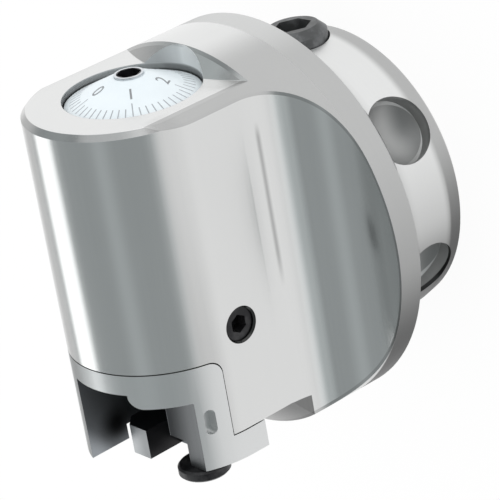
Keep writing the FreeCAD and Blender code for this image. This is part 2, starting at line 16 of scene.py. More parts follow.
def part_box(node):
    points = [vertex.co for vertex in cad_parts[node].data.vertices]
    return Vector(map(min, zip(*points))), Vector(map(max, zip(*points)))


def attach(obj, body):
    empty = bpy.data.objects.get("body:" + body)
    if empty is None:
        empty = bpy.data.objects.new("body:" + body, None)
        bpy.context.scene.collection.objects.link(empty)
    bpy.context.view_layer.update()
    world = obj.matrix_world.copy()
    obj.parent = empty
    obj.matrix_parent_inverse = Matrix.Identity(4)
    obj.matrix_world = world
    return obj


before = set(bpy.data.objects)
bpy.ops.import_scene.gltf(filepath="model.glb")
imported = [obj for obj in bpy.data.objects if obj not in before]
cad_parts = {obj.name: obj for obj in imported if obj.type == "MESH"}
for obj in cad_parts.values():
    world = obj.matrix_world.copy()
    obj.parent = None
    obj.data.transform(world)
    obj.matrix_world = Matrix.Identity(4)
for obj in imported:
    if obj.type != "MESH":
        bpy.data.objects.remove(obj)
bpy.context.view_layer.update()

log = logging.getLogger("boring_head")

MM = 0.001

Number = Union[int, float]
Colour = tuple[float, float, float]
Stretch = tuple[float, float, float]

BLACK: Colour = (0.0, 0.0, 0.0)
WHITE: Colour = (1.0, 1.0, 1.0)

DIAL_Z = 62.0 * MM       # height of the dial's axis
NOISE_MIDDLE = 0.5       # what a noise texture swings about
LINES_IN_RELIEF = 0.7    # share of the milling lines in a bump's height
FINE_IN_RELIEF = 0.3     # share of the finest grain in it


class Body(Enum):
    """The rigid bodies that this script's own pieces ride on."""

    MICROMETER = "micrometer"


class Slot(Enum):
    """Material slots of the record."""

    HEAD_STEEL = "head_steel"
    SLIDE_STEEL = "slide_steel"
    DIAL_WHITE = "dial_white"
    BLACK_STEEL = "black_steel"
    GROUND_STEEL = "ground_steel"
    BALL_STEEL = "ball_steel"
    BRONZE = "bronze"
    SEAL_RUBBER = "seal_rubber"


# ---------------------------------------------------------------- shader nodes


class Value:
    """A number's socket that adds Math nodes when it is used in an expression."""

    def __init__(self, shader: "Shader", socket: bpy.types.NodeSocket) -> None:
        """Wrap a socket.

        Args:
            shader: The node tree that new nodes go into.
            socket: The output socket that holds the number.
        """
        self.shader = shader
        self.socket = socket

    def _math(self, operation: str, *inputs: Union["Value", Number]) -> "Value":
        """Add one Math node and return its output."""
        node = self.shader.node("ShaderNodeMath", {"operation": operation},
                                dict(enumerate(inputs)))
        return Value(self.shader, node.outputs[0])

    def __add__(self, other: Union["Value", Number]) -> "Value":
        """Return self + other."""
        return self._math("ADD", self, other)

    def __radd__(self, other: Number) -> "Value":
        """Return other + self."""
        return self._math("ADD", other, self)

    def __sub__(self, other: Union["Value", Number]) -> "Value":
        """Return self - other."""
        return self._math("SUBTRACT", self, other)

    def __rsub__(self, other: Number) -> "Value":
        """Return other - self."""
        return self._math("SUBTRACT", other, self)

    def __mul__(self, other: Union["Value", Number]) -> "Value":
        """Return self * other."""
        return self._math("MULTIPLY", self, other)

    def __rmul__(self, other: Number) -> "Value":
        """Return other * self."""
        return self._math("MULTIPLY", other, self)

    def __truediv__(self, other: Union["Value", Number]) -> "Value":
        """Return self / other."""
        return self._math("DIVIDE", self, other)

    def __pow__(self, other: Number) -> "Value":
        """Return self to a power."""
        return self._math("POWER", self, other)

    def __abs__(self) -> "Value":
        """Return the size of self."""
        return self._math("ABSOLUTE", self)

    def most(self, other: Union["Value", Number]) -> "Value":
        """Return the larger of self and other."""
        return self._math("MAXIMUM", self, other)

    def least(self, other: Union["Value", Number]) -> "Value":
        """Return the smaller of self and other."""
        return self._math("MINIMUM", self, other)

    def swing(self, amount: Number) -> "Value":
        """Return how far a noise departs from its middle, times an amount."""
        return (self - NOISE_MIDDLE) * amount

    def ramp(self, low: Number, high: Number, to_low: Number = 0.0,
             to_high: Number = 1.0) -> "Value":
        """Map low..high smoothly to to_low..to_high, held beyond both ends.

        Args:
            low: Input at which the output is to_low.
            high: Input at which the output is to_high.
            to_low: Output at and below low.
            to_high: Output at and above high.

        Returns:
            The mapped value.
        """
        node = self.shader.node(
            "ShaderNodeMapRange", {"interpolation_type": "SMOOTHSTEP", "clamp": True},
            {"Value": self, "From Min": low, "From Max": high, "To Min": to_low,
             "To Max": to_high})
        return Value(self.shader, node.outputs["Result"])


Place = tuple[Value, Value, Value]


@dataclass(frozen=True)
class Band:
    """A smooth step: what a coordinate turns into between two of its values, held beyond them."""

    low: float
    high: float
    to_low: float = 0.0
    to_high: float = 1.0

    def over(self, value: Value) -> Value:
        """Return the step at a value."""
        return value.ramp(self.low, self.high, self.to_low, self.to_high)


def distance(first: Value, second: Value) -> Value:
    """Return the length of two offsets that stand square to each other."""
    return (first * first + second * second) ** 0.5


class Shader:
    """Builds the node tree of one material or of the world."""

    MIX_FACTOR, MIX_FIRST, MIX_SECOND, MIX_RESULT = 0, 6, 7, 2

    def __init__(self, tree: bpy.types.NodeTree) -> None:
        """Start an empty tree.

        Args:
            tree: The tree to fill; its nodes are removed first.
        """
        self.tree = tree
        tree.nodes.clear()

    def node(self, kind: str, settings: Optional[dict[str, Any]] = None,
             inputs: Optional[dict[Union[int, str], Any]] = None) -> bpy.types.Node:
        """Add a node.

        Args:
            kind: The node's type name.
            settings: Properties to set before the sockets.
            inputs: Values or links for the node's input sockets, by name or number.

        Returns:
            The new node.
        """
        made = self.tree.nodes.new(kind)
        for name, value in (settings or {}).items():
            setattr(made, name, value)
        for key, value in (inputs or {}).items():
            target = made.inputs[key]
            if isinstance(value, Value):
                self.tree.links.new(value.socket, target)
            elif isinstance(value, bpy.types.NodeSocket):
                self.tree.links.new(value, target)
            elif isinstance(value, tuple) and target.type == "RGBA":
                target.default_value = (*value[:3], 1.0)
            else:
                target.default_value = value
        return made

    def value(self, socket: bpy.types.NodeSocket) -> Value:
        """Wrap an output socket for use in expressions."""
        return Value(self, socket)

    def place(self) -> bpy.types.NodeSocket:
        """Return Object coordinates, in metres."""
        return self.node("ShaderNodeTexCoord").outputs["Object"]

    def axes(self, vector: bpy.types.NodeSocket) -> Place:
        """Split a vector into x, y and z."""
        parts = self.node("ShaderNodeSeparateXYZ", inputs={"Vector": vector}).outputs
        return tuple(self.value(parts[k]) for k in range(3))

    def stretched(self, vector: bpy.types.NodeSocket, scale: Stretch) -> bpy.types.NodeSocket:
        """Scale a vector along each axis."""
        made = self.node("ShaderNodeMapping", inputs={"Vector": vector, "Scale": scale})
        return made.outputs["Vector"]

    def noise(self, vector: bpy.types.NodeSocket, scale: float, detail: float,
              roughness: float = 0.5) -> Value:
        """Return a noise texture, 0 to 1 about 0.5.

        Args:
            vector: Where the noise is read.
            scale: Features per metre.
            detail: Octaves.
            roughness: Weight of the finer octaves.

        Returns:
            The noise's value.
        """
        made = self.node("ShaderNodeTexNoise", {"normalize": True},
                         {"Vector": vector, "Scale": scale, "Detail": detail,
                          "Roughness": roughness})
        return self.value(made.outputs["Fac"])

    def blend(self, factor: Union[Value, float], first: Union[Colour, bpy.types.NodeSocket],
              second: Union[Colour, bpy.types.NodeSocket]) -> bpy.types.NodeSocket:
        """Mix two colours.

        Args:
            factor: 0 gives first and 1 gives second.
            first: A colour or a colour socket.
            second: A colour or a colour socket.

        Returns:
            The mixed colour's socket.
        """
        mix = self.node("ShaderNodeMix", {"data_type": "RGBA"}, {
            self.MIX_FACTOR: factor, self.MIX_FIRST: first, self.MIX_SECOND: second})
        return mix.outputs[self.MIX_RESULT]

    def bump(self, height: Value, relief: float) -> bpy.types.NodeSocket:
        """Turn a height of 0 to 1 into a bumped normal.

        Args:
            height: The height's pattern.
            relief: What a height of 1 stands for, in metres.

        Returns:
            The normal's socket.
        """
        made = self.node("ShaderNodeBump", inputs={"Height": height, "Distance": relief,
                                                   "Strength": 1.0})
        return made.outputs["Normal"]

    def surface(self, **inputs: Any) -> bpy.types.Node:
        """Add a Principled BSDF and join it to the output.

        Args:
            **inputs: What the sockets get, under their names in lower case, with underscores.

        Returns:
            The Principled node.
        """
        named = {key.replace("_", " ").title(): value for key, value in inputs.items()}
        made = self.node("ShaderNodeBsdfPrincipled", inputs=named)
        self.node("ShaderNodeOutputMaterial", inputs={"Surface": made.outputs["BSDF"]})
        return made


@dataclass(frozen=True)
class Grain:
    """A noise on the surface, even or stretched along the axes."""

    scale: float
    detail: float
    roughness: float = 0.5
    stretch: Optional[Stretch] = None

    def on(self, shader: Shader, place: bpy.types.NodeSocket) -> Value:
        """Return the noise, read at a place."""
        spot = place if self.stretch is None else shader.stretched(place, self.stretch)
        return shader.noise(spot, self.scale, self.detail, self.roughness)


def scaled(colour: Colour, share: float) -> Colour:
    """Return a colour times a number."""
    return tuple(channel * share for channel in colour)


# ---------------------------------------------------------------- finishes


@dataclass(frozen=True)
class Finish:
    """What every finish has: a name and a slot, and a way to build its material."""

    name: str
    slot: Slot

    def material(self) -> bpy.types.Material:
        """Build the material, or find it if it is there already.

        Returns:
            The material of this finish.
        """
        found = bpy.data.materials.get(self.name)
        if found is not None:
            return found
        made = bpy.data.materials.new(self.name)
        made.use_nodes = True
        self.build(Shader(made.node_tree))
        return made

    def build(self, shader: Shader) -> None:
        """Fill the material's node tree."""
        raise NotImplementedError

    def dress(self, thing: bpy.types.Object) -> None:
        """Make this the object's only material."""
        thing.data.materials.clear()
        thing.data.materials.append(self.material())


@dataclass(frozen=True)
class TurnedPaintedShade:
    """Painted light and shade on the turned skin of the coupling ring and of the disc's rim."""

    taper_end: ClassVar[float] = 4.7 * MM
    # painted shade on the -X side, only toward the lock screw's side
    painted_shade_wide: Band = Band(-0.55, 0.55, 0.55, 1.0)
    painted_shade_deep: Band = Band(-0.60, -0.05, 0.25, 1.0)
    painted_shade_near: Band = Band(-12 * MM, 8 * MM, 1.0, 0.0)
    # painted shade on the rear lead-in, painted light on the ring ahead of it, darker again on the
    # -X side
    lead_in_painted_shading: Band = Band(taper_end - 0.6 * MM, taper_end + 1.8 * MM, 0.70, 1.16)
    lead_in_painted_side_shade: Band = Band(-0.25, 0.45, 0.50, 1.0)
    lead_in_end: Band = Band(taper_end - 0.4 * MM, taper_end + 0.4 * MM, 1.0, 0.0)
    # painted shadow on the ring under the disc
    painted_disc_shadow: Band = Band(14.5 * MM, 21.5 * MM, 1.0, 0.63)
    # painted light on the rim where it faces +X; elsewhere the rim is painted darker
    painted_rim_light: Band = Band(0.90, 1.0, 0.76, 0.98)

    def level(self, place: Place, radius: Value, rim: Value) -> Value:
        """Return the share of the finish's colour.

        Args:
            place: x, y and z.
            radius: Distance from the spindle axis.
            rim: 1 on the disc's rim.

        Returns:
            The share, which is 1 where the finish keeps its own colour.
        """
        x, y, z = place
        side = x / radius
        # painted shade on the -X side toward the lock screw's side
        painted_lee = self.painted_shade_wide.over(side) * self.painted_shade_deep.over(side)
        painted_lee = 1 - (1 - painted_lee) * self.painted_shade_near.over(y)
        # painted shade on the rear lead-in, painted light ahead of it
        painted_taper_shading = self.lead_in_painted_shading.over(z)
        painted_taper_shading = painted_taper_shading * (1 - (1 - self.lead_in_painted_side_shade.over(side)) * self.lead_in_end.over(z))
        # painted light on the rim facing +X, painted shadow on the ring under the disc
        return painted_lee * (rim * self.painted_rim_light.over(side) + (1 - rim) * painted_taper_shading * self.painted_disc_shadow.over(z))


@dataclass(frozen=True)
class PocketPaintedShade:
    """Painted shade in the ring's pockets: a darker dish inside a brighter wall, both darker than
    the ring.
    """

    floor_radius: ClassVar[float] = 32.55 * MM
    wall: Band = Band(floor_radius, floor_radius + 0.1 * MM)
    # painted shade on the pocket's wall
    painted_wall_shade: float = 0.85
    # painted shade in the pocket's dish, lighter towards the disc
    painted_dish_shade: Band = Band(5.0 * MM, 10.0 * MM, 0.44, 0.66)

    def level(self, z: Value, radius: Value) -> Value:
        """Return the share of the finish's colour at a height and a radius."""
        wall = self.wall.over(radius)
        # painted shade: the dish darker than the wall
        return wall * self.painted_wall_shade + (1 - wall) * self.painted_dish_shade.over(z)


@dataclass(frozen=True)
class NosePaintedShade:
    """How bright the nose is painted: light and shade on its side, its shoulder, its edges and its
    two holes.
    """

    hair: ClassVar[float] = 0.03 * MM
    rim_radius: ClassVar[float] = 47.3 * MM
    flat_x: ClassVar[float] = 42.87 * MM
    chamfer_x: ClassVar[float] = 41.62 * MM
    base_x: ClassVar[float] = -35.8 * MM
    shoulder_z: ClassVar[float] = 45.6 * MM

    crown: Band = Band(rim_radius - hair, rim_radius)
    # painted shade on the -Y side of the round top, painted light over the rest
    crown_painted_shading: Band = Band(-16 * MM, -3 * MM, 0.74, 1.12)

    dial_flat: Band = Band(flat_x - hair, flat_x)
    # painted light on the dial's flat
    flat_painted_light: float = 0.14
    past_flat: Band = Band(flat_x + 0.06 * MM, flat_x + 0.10 * MM)
    # painted highlight across the middle of the shoulder's cone, painted shade toward both sides
    cone_near_painted_shade: Band = Band(-19 * MM, -12 * MM, 0.5, 1.15)
    cone_far_painted_shade: Band = Band(2 * MM, 8 * MM, 1.0, 0.68)

    past_chamfer: Band = Band(chamfer_x - hair, chamfer_x)
    chamfer_start: Band = Band(shoulder_z + 1 * MM, shoulder_z + 2 * MM)
    # painted shade on the chamfer, deepest toward -Y, painted lighter near its root
    chamfer_painted_shade: Band = Band(-11 * MM, -5 * MM, 0.58, 0.95)
    chamfer_root_painted_light: Band = Band(69.5 * MM, 71 * MM, 0.25, 0.0)

    under_base: Band = Band(base_x - 0.1 * MM, base_x - 0.05 * MM, 1.0, 0.0)
    over_shoulder: Band = Band(shoulder_z - 0.05 * MM, shoulder_z)
    base_shade: float = 0.72

    fillet_start: Band = Band(39.6 * MM, 41.2 * MM)
    fillet_end: Band = Band(42.6 * MM, 44.6 * MM, 1.0, 0.0)
    fillet_side: Band = Band(-24.2 * MM, -24.1 * MM, 1.0, 0.0)
    # painted light band on the side's fillet
    fillet_painted_light: float = 0.36

    front_start: Band = Band(66.0 * MM, 71.0 * MM)
    front_end: Band = Band(72.5 * MM, 75.5 * MM, 1.0, 0.0)
    front_side: Band = Band(-19 * MM, -17 * MM, 1.0, 0.0)
    front_fade: Band = Band(-20 * MM, 35 * MM, 1.2, 0.5)
    front_shade: float = 0.17

    # a painted dark reflection line along the side
    line_z: float = 47.8 * MM
    line_width: Band = Band(0.0, 0.9 * MM, 1.0, 0.0)
    line_side: Band = Band(-23 * MM, -22 * MM, 1.0, 0.0)
    line_start: Band = Band(-8 * MM, 3 * MM)
    line_end: Band = Band(30 * MM, 35 * MM, 1.0, 0.0)
    line_shade: float = 0.38

    # painted shade deep in the dial's recess, painted highlight on its lip on the -Y side
    recess_painted_shade: Band = Band(42.4 * MM, 43.2 * MM, 0.42, 0.85)
    recess_lip: Band = Band(43.0 * MM, 43.4 * MM)
    recess_lip_painted_highlight: Band = Band(-2 * MM, 3 * MM, 0.45, 0.0)
    well_shade: float = 0.9

    def side_level(self, place: Place, crown: Value, flat: Value) -> Value:
        """Return the level of the milled side, with its painted light, its painted shade and the
        painted dark reflection line that runs along it.

        Args:
            place: x, y and z.
            crown: 1 on the round skin that goes on from the disc.
            flat: 1 on the dial's flat.

        Returns:
            The share of the finish's colour before the edges and holes are shaded.
        """
        x, y, z = place
        fillet = (self.fillet_start.over(z) * self.fillet_end.over(z) * self.fillet_side.over(y)
                  * (1 - crown))
        front = (self.front_start.over(z) * self.front_end.over(z) * self.front_side.over(y)
                 * self.front_fade.over(x))
        painted_line = (self.line_width.over(abs(z - self.line_z)) * self.line_side.over(y)
                * self.line_start.over(x) * self.line_end.over(x))
        # painted light on the fillet and the dial's flat, painted shade along the line and at the
        # front
        return (1 + fillet * self.fillet_painted_light - painted_line * self.line_shade - front * self.front_shade
                + flat * self.flat_painted_light)

    def level(self, place: Place, radius: Value, recess: Value, well: Value) -> Value:
        """Return the share of the finish's colour.

        Args:
            place: x, y and z.
            radius: Distance from the spindle axis.
            recess: 1 inside the dial's recess.
            well: 1 in the lock screw's hole.

        Returns:
            The share, which is 1 where the finish keeps its own colour.
        """
        x, y, z = place
        crown = self.crown.over(radius)
        flat = self.dial_flat.over(x) * (1 - crown)
        cone = self.past_flat.over(x) * (1 - crown)
        chamfer = (self.past_chamfer.over(x) * (1 - flat) * self.chamfer_start.over(z)
                   * (1 - crown))
        base = self.under_base.over(x) * self.over_shoulder.over(z)
        level = self.side_level(place, crown, flat)
        # painted shade and painted light across the round top
        level = level * (1 - crown * (1 - self.crown_painted_shading.over(y)))
        # painted highlight and painted shade in the shoulder's cone
        level = level * (1 - cone * (1 - self.cone_near_painted_shade.over(y) * self.cone_far_painted_shade.over(y)))
        # painted shade on the chamfer, painted lighter near its root
        edge = self.chamfer_painted_shade.over(y) + self.chamfer_root_painted_light.over(z)
        level = level * (1 - chamfer * (1 - edge)) * (1 - base * self.base_shade)
        # painted shade in the dial's recess, painted highlight on its lip
        wall = self.recess_painted_shade.over(x) + self.recess_lip.over(x) * self.recess_lip_painted_highlight.over(y)
        level = level * (1 - recess * (1 - wall))
        return level * (1 - well * self.well_shade)


@dataclass(frozen=True)
class FlangeSteel(Finish):
    """Steel of the head: a smooth milled nose, a turned ring and disc, and dull recesses, with
    painted light and shade.
    """

    colour: Colour = (0.695, 0.700, 0.697)
    headroom: float = 1.4
    roughness: float = 0.20
    turned_roughness: float = 0.42
    pocket_roughness: float = 0.08
    recess_dulling: float = 1.2
    relief: float = 0.0022 * MM
    along: Grain = Grain(scale=4.0, detail=4.0, stretch=(4.0, 500.0, 500.0))
    around: Grain = Grain(scale=4.0, detail=3.0, stretch=(6.0, 6.0, 900.0))
    cloud: Grain = Grain(scale=45.0, detail=4.0)
    fine: Grain = Grain(scale=2200.0, detail=2.0)

    disc_rear: ClassVar[float] = 25.0 * MM
    rim_end: ClassVar[float] = 32.4 * MM
    rim_radius: ClassVar[float] = NosePaintedShade.rim_radius
    ring_radius: ClassVar[float] = 36.6 * MM
    bore_radius: ClassVar[float] = 24.5 * MM
    dial_recess: ClassVar[float] = 16.32 * MM

    nose: Band = Band(rim_end - 0.2 * MM, rim_end + 0.6 * MM)
    rim: Band = Band(rim_radius, rim_radius + 0.3 * MM)
    ring: Band = Band(disc_rear - 0.3 * MM, disc_rear, 1.0, 0.0)
    skin: Band = Band(ring_radius - 1.2 * MM, ring_radius - 0.9 * MM)
    past_bore: Band = Band(bore_radius, bore_radius + 0.5 * MM)
    past_rear: Band = Band(1.5 * MM, 2.0 * MM)
    in_recess: Band = Band(dial_recess, dial_recess + 0.02 * MM, 1.0, 0.0)
    dial_side: Band = Band(20 * MM, 21 * MM)
    in_well: Band = Band(4.44 * MM, 4.47 * MM, 1.0, 0.0)
    lock_side: Band = Band(-20.0 * MM, -19.9 * MM, 1.0, 0.0)

    # painted light and shade, by place, for the nose, the turned skin and the pockets
    nose_painted_shade: NosePaintedShade = NosePaintedShade()
    turned_painted_shade: TurnedPaintedShade = TurnedPaintedShade()
    pocket_painted_shade: PocketPaintedShade = PocketPaintedShade()

    def holes(self, place: Place) -> tuple[Value, Value]:
        """Mark the dial's recess and the lock screw's hole.

        Args:
            place: x, y and z.

        Returns:
            The two masks, each 1 inside its hole.
        """
        x, y, z = place
        recess = self.in_recess.over(distance(z - DIAL_Z, y)) * self.dial_side.over(x)
        low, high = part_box("lock_screw")
        off_x, off_z = x - (low.x + high.x) / 2, z - (low.z + high.z) / 2
        well = self.in_well.over(distance(off_x, off_z)) * self.lock_side.over(y)
        return recess, well

    def build(self, shader: Shader) -> None:
        """Fill the material's node tree.

        Args:
            shader: The tree to fill.
        """
        place = shader.place()
        x, y, z = shader.axes(place)
        radius = distance(x, y)
        nose = self.nose.over(z)
        rim = self.rim.over(radius) * (1 - nose)
        ring = self.ring.over(z)
        skin = self.skin.over(radius)
        pockets = ring * (1 - skin) * self.past_bore.over(radius) * self.past_rear.over(z)
        turned = rim + ring * skin
        recess, well = self.holes((x, y, z))

        lines = self.along.on(shader, place) * nose + self.around.on(shader, place) * (1 - nose)
        cloud = self.cloud.on(shader, place)
        fine = self.fine.on(shader, place)

        # painted light and shade: each region's share of the colour
        level = ((1 - turned - pockets) * self.nose_painted_shade.level((x, y, z), radius, recess, well)
                 + turned * self.turned_painted_shade.level((x, y, z), radius, rim)
                 + pockets * self.pocket_painted_shade.level(z, radius))
        level = level + lines.swing(0.05) + cloud.swing(0.05)
        colour = shader.blend(level.least(self.headroom) / self.headroom, BLACK,
                              scaled(self.colour, self.headroom))
        dull = (turned + pockets + recess * self.recess_dulling).least(self.recess_dulling)
        rough = lines.swing(0.10) + cloud.swing(0.06) + self.roughness
        rough = (rough + dull * (self.turned_roughness - self.roughness)
                 + pockets * self.pocket_roughness)
        height = lines * LINES_IN_RELIEF + fine * FINE_IN_RELIEF
        shader.surface(base_color=colour, metallic=1.0, roughness=rough,
                       normal=shader.bump(height, self.relief))


@dataclass(frozen=True)
class SlideSteel(Finish):
    """Steel of the tool slide: a satin milled skin, with painted shade in the seat, on the face at
    the tip and on the near end.
    """

    colour: Colour = (0.72, 0.73, 0.73)
    # painted shade in the seat
    seat_painted_shade: Colour = (0.16, 0.17, 0.18)
    seat_headroom: float = 2.5
    darkest: float = 0.93
    lightest: float = 1.05
    # painted shade on the face at the tip
    front_painted_shade_colour: Colour = (0.16, 0.17, 0.17)
    front_shade: float = 0.62
    # painted shade on the near end, darkest toward the seat
    end_painted_shade_outer: Colour = (0.20, 0.205, 0.21)
    end_painted_shadow_inner: Colour = (0.045, 0.047, 0.05)
    roughness: float = 0.36
    seat_dulling: float = 0.12
    relief: float = 0.003 * MM
    lines: Grain = Grain(scale=4.0, detail=4.0, stretch=(5.0, 400.0, 400.0))
    cloud: Grain = Grain(scale=60.0, detail=4.0)
    fine: Grain = Grain(scale=2200.0, detail=2.0)

    step: ClassVar[float] = 0.1 * MM
    seat_top_x: ClassVar[float] = -21.6 * MM
    seat_near_y: ClassVar[float] = -9.6 * MM
    seat_far_y: ClassVar[float] = 8.1 * MM
    seat_back_z: ClassVar[float] = 69.9 * MM
    end_top_x: ClassVar[float] = -25.05 * MM
    end_back_z: ClassVar[float] = 76.35 * MM

    seat_top: Band = Band(seat_top_x, seat_top_x + 2 * step, 1.0, 0.0)
    seat_near: Band = Band(seat_near_y - step, seat_near_y)
    seat_far: Band = Band(seat_far_y + step, seat_far_y + 2 * step, 1.0, 0.0)
    seat_back: Band = Band(seat_back_z - step, seat_back_z)
    far_wall: Band = Band(seat_far_y - step, seat_far_y)

    end_top: Band = Band(end_top_x - step, end_top_x, 1.0, 0.0)
    end_near: Band = Band(seat_near_y - step, seat_near_y, 1.0, 0.0)
    end_back: Band = Band(end_back_z, end_back_z + 0.03 * MM)
    end_fade: Band = Band(-20.5 * MM, -10 * MM)

    # a painted round shadow on the seat's far wall, with a painted lighter tip
    shadow_spot_drop: float = 37.5 * MM
    shadow_spot_z: float = 78.3 * MM
    painted_shadow_spot: Band = Band(0.5 * MM, 6.5 * MM, 0.06, 1.0)
    painted_tip_light: Band = Band(5.0 * MM, 11.0 * MM, 1.0, 2.3)
    tip_slant: float = 0.8
    floor_level: float = 0.9

    front_back: Band = Band(80 * MM, 84 * MM)
    front_near: Band = Band(-4 * MM, 2 * MM)
    front_far: Band = Band(9 * MM, 14 * MM, 1.0, 0.35)

    def skin_colour(self, shader: Shader, place: Place, seat: Value,
                    tone: Value) -> bpy.types.NodeSocket:
        """Colour the outer skin, with the shaded face at the tip.

        Args:
            shader: The tree to fill.
            place: x, y and z.
            seat: 1 inside the seat.
            tone: The steel's mottling, 0 to 1.

        Returns:
            The colour's socket.
        """
        _, y, z = place
        skin = shader.blend(tone, scaled(self.colour, self.darkest),
                            scaled(self.colour, self.lightest))
        # painted shade on the face at the tip
        front = (self.front_back.over(z) * (1 - seat) * self.front_near.over(y)
                 * self.front_far.over(y))
        return shader.blend(front * self.front_shade, skin, self.front_painted_shade_colour)

    def seat_wall(self, shader: Shader, place: Place, seat: Value) -> bpy.types.NodeSocket:
        """Colour the seat in painted shade, with a painted round shadow and a painted lighter tip
        on its far wall.

        Args:
            shader: The tree to fill.
            place: x, y and z.
            seat: 1 inside the seat.

        Returns:
            The colour's socket.
        """
        x, y, z = place
        far_wall = seat * self.far_wall.over(y)
        down, out = x + self.shadow_spot_drop, z - self.shadow_spot_z
        # painted round shadow and painted lighter tip on the far wall
        painted_shadow_spot = self.painted_shadow_spot.over(distance(down, out))
        painted_tip_light = self.painted_tip_light.over(out - down * self.tip_slant)
        level = (1 - far_wall) * self.floor_level + far_wall * painted_shadow_spot * painted_tip_light
        return shader.blend(level.least(self.seat_headroom) / self.seat_headroom, BLACK,
                            scaled(self.seat_painted_shade, self.seat_headroom))

    def build(self, shader: Shader) -> None:
        """Fill the material's node tree.

        Args:
            shader: The tree to fill.
        """
        spot = shader.place()
        x, y, z = place = shader.axes(spot)
        seat = (self.seat_top.over(x) * self.seat_near.over(y) * self.seat_far.over(y)
                * self.seat_back.over(z))
        near_end = self.end_top.over(x) * self.end_near.over(y) * self.end_back.over(z)
        lines = self.lines.on(shader, spot)
        cloud = self.cloud.on(shader, spot)
        fine = self.fine.on(shader, spot)
        tone = lines.swing(0.3) + cloud.swing(0.4) + NOISE_MIDDLE
        # painted shade in the seat
        colour = shader.blend(seat, self.skin_colour(shader, place, seat, tone),
                              self.seat_wall(shader, place, seat))
        # painted shade on the near end, darkest toward the seat
        end = shader.blend(self.end_fade.over(y), self.end_painted_shade_outer, self.end_painted_shadow_inner)
        colour = shader.blend(near_end, colour, end)
        rough = lines.swing(0.10) + (seat + near_end) * self.seat_dulling + self.roughness
        height = lines * LINES_IN_RELIEF + fine * FINE_IN_RELIEF
        shader.surface(base_color=colour, metallic=1.0, roughness=rough,
                       normal=shader.bump(height, self.relief))


@dataclass(frozen=True)
class GroundSteel(Finish):
    """Hardened and ground steel of the inner pieces."""

    colour: Colour = (0.60, 0.61, 0.63)
    darkest: float = 0.8
    roughness: float = 0.24
    relief: float = 0.002 * MM
    lines: Grain = Grain(scale=3.0, detail=3.0, stretch=(900.0, 20.0, 20.0))
    cloud: Grain = Grain(scale=120.0, detail=3.0)

    def build(self, shader: Shader) -> None:
        """Fill the material's node tree.

        Args:
            shader: The tree to fill.
        """
        place = shader.place()
        lines = self.lines.on(shader, place)
        mottling = lines * 0.6 + self.cloud.on(shader, place) * 0.4
        colour = shader.blend(mottling, scaled(self.colour, self.darkest), self.colour)
        shader.surface(base_color=colour, metallic=1.0,
                       roughness=lines.swing(0.15) + self.roughness,
                       normal=shader.bump(lines, self.relief))


@dataclass(frozen=True)
class KeySteel(Finish):
    """The holder key: a ground end face with painted shade across it, and flanks painted near
    black as shade.
    """

    ground: Colour = (0.40, 0.41, 0.42)
    ground_shade: float = 0.6
    # the flanks' near black is painted shade
    black: Colour = (0.006, 0.006, 0.007)
    black_worn: float = 2.5
    roughness: float = 0.33
    relief: float = 0.002 * MM
    end_z: ClassVar[float] = 79.45 * MM
    end: Band = Band(end_z - 0.04 * MM, end_z)
    # painted shading across the end face, darker toward -Y
    sheen: Band = Band(-4 * MM, 2.5 * MM)
    cloud: Grain = Grain(scale=300.0, detail=3.0)
    fine: Grain = Grain(scale=2400.0, detail=2.0)

    def build(self, shader: Shader) -> None:
        """Fill the material's node tree.

        Args:
            shader: The tree to fill.
        """
        place = shader.place()
        _, y, z = shader.axes(place)
        cloud = self.cloud.on(shader, place)
        end = self.end.over(z)
        # painted shade: near black flanks, and a ground face darker toward -Y
        flank = shader.blend(cloud, self.black, scaled(self.black, self.black_worn))
        face = shader.blend(self.sheen.over(y), scaled(self.ground, self.ground_shade),
                            self.ground)
        shader.surface(base_color=shader.blend(end, flank, face), metallic=end * 0.6 + 0.4,
                       roughness=cloud.swing(0.1) + self.roughness,
                       normal=shader.bump(self.fine.on(shader, place), self.relief))


@dataclass(frozen=True)
class FacedScrew(Finish):
    """A blackened screw whose head is faced bright around its socket."""

    bright: Colour = (0.80, 0.83, 0.86)
    bright_shade: float = 0.92
    black: Colour = (0.010, 0.010, 0.012)
    black_worn: float = 3.0
    roughness: float = 0.34
    relief: float = 0.002 * MM
    head_x: ClassVar[float] = 44.0 * MM
    socket_radius: ClassVar[float] = 2.95 * MM
    head: Band = Band(head_x, head_x + 0.1 * MM)
    past_socket: Band = Band(socket_radius - 0.06 * MM, socket_radius)
    cloud: Grain = Grain(scale=500.0, detail=3.0)

    def build(self, shader: Shader) -> None:
        """Fill the material's node tree.

        Args:
            shader: The tree to fill.
        """
        place = shader.place()
        x, y, z = shader.axes(place)
        faced = self.head.over(x) * self.past_socket.over(distance(y, z - DIAL_Z))
        cloud = self.cloud.on(shader, place)
        bright = shader.blend(cloud, scaled(self.bright, self.bright_shade), self.bright)
        black = shader.blend(cloud, self.black, scaled(self.black, self.black_worn))
        shader.surface(base_color=shader.blend(faced, black, bright), metallic=faced * 0.5 + 0.5,
                       roughness=cloud.swing(0.1) + self.roughness,
                       normal=shader.bump(cloud, self.relief))


@dataclass(frozen=True)
class Mottled(Finish):
    """An even finish: a cloud mixes two colours, and a finer grain carries the relief."""

    colour: Colour
    mottle: Colour
    cloud: Grain
    grain: Grain
    mix: Band
    roughness: float
    roughness_swing: float
    relief: float
    metallic: float = 0.0
    cloud_in_sheen: bool = False

    def build(self, shader: Shader) -> None:
        """Fill the material's node tree.

        Args:
            shader: The tree to fill.
        """
        place = shader.place()
        cloud = self.cloud.on(shader, place)
        grain = self.grain.on(shader, place)
        sheen = cloud if self.cloud_in_sheen else grain
        shader.surface(base_color=shader.blend(self.mix.over(cloud), self.colour, self.mottle),
                       metallic=self.metallic,
                       roughness=sheen.swing(self.roughness_swing) + self.roughness,
                       normal=shader.bump(grain, self.relief))


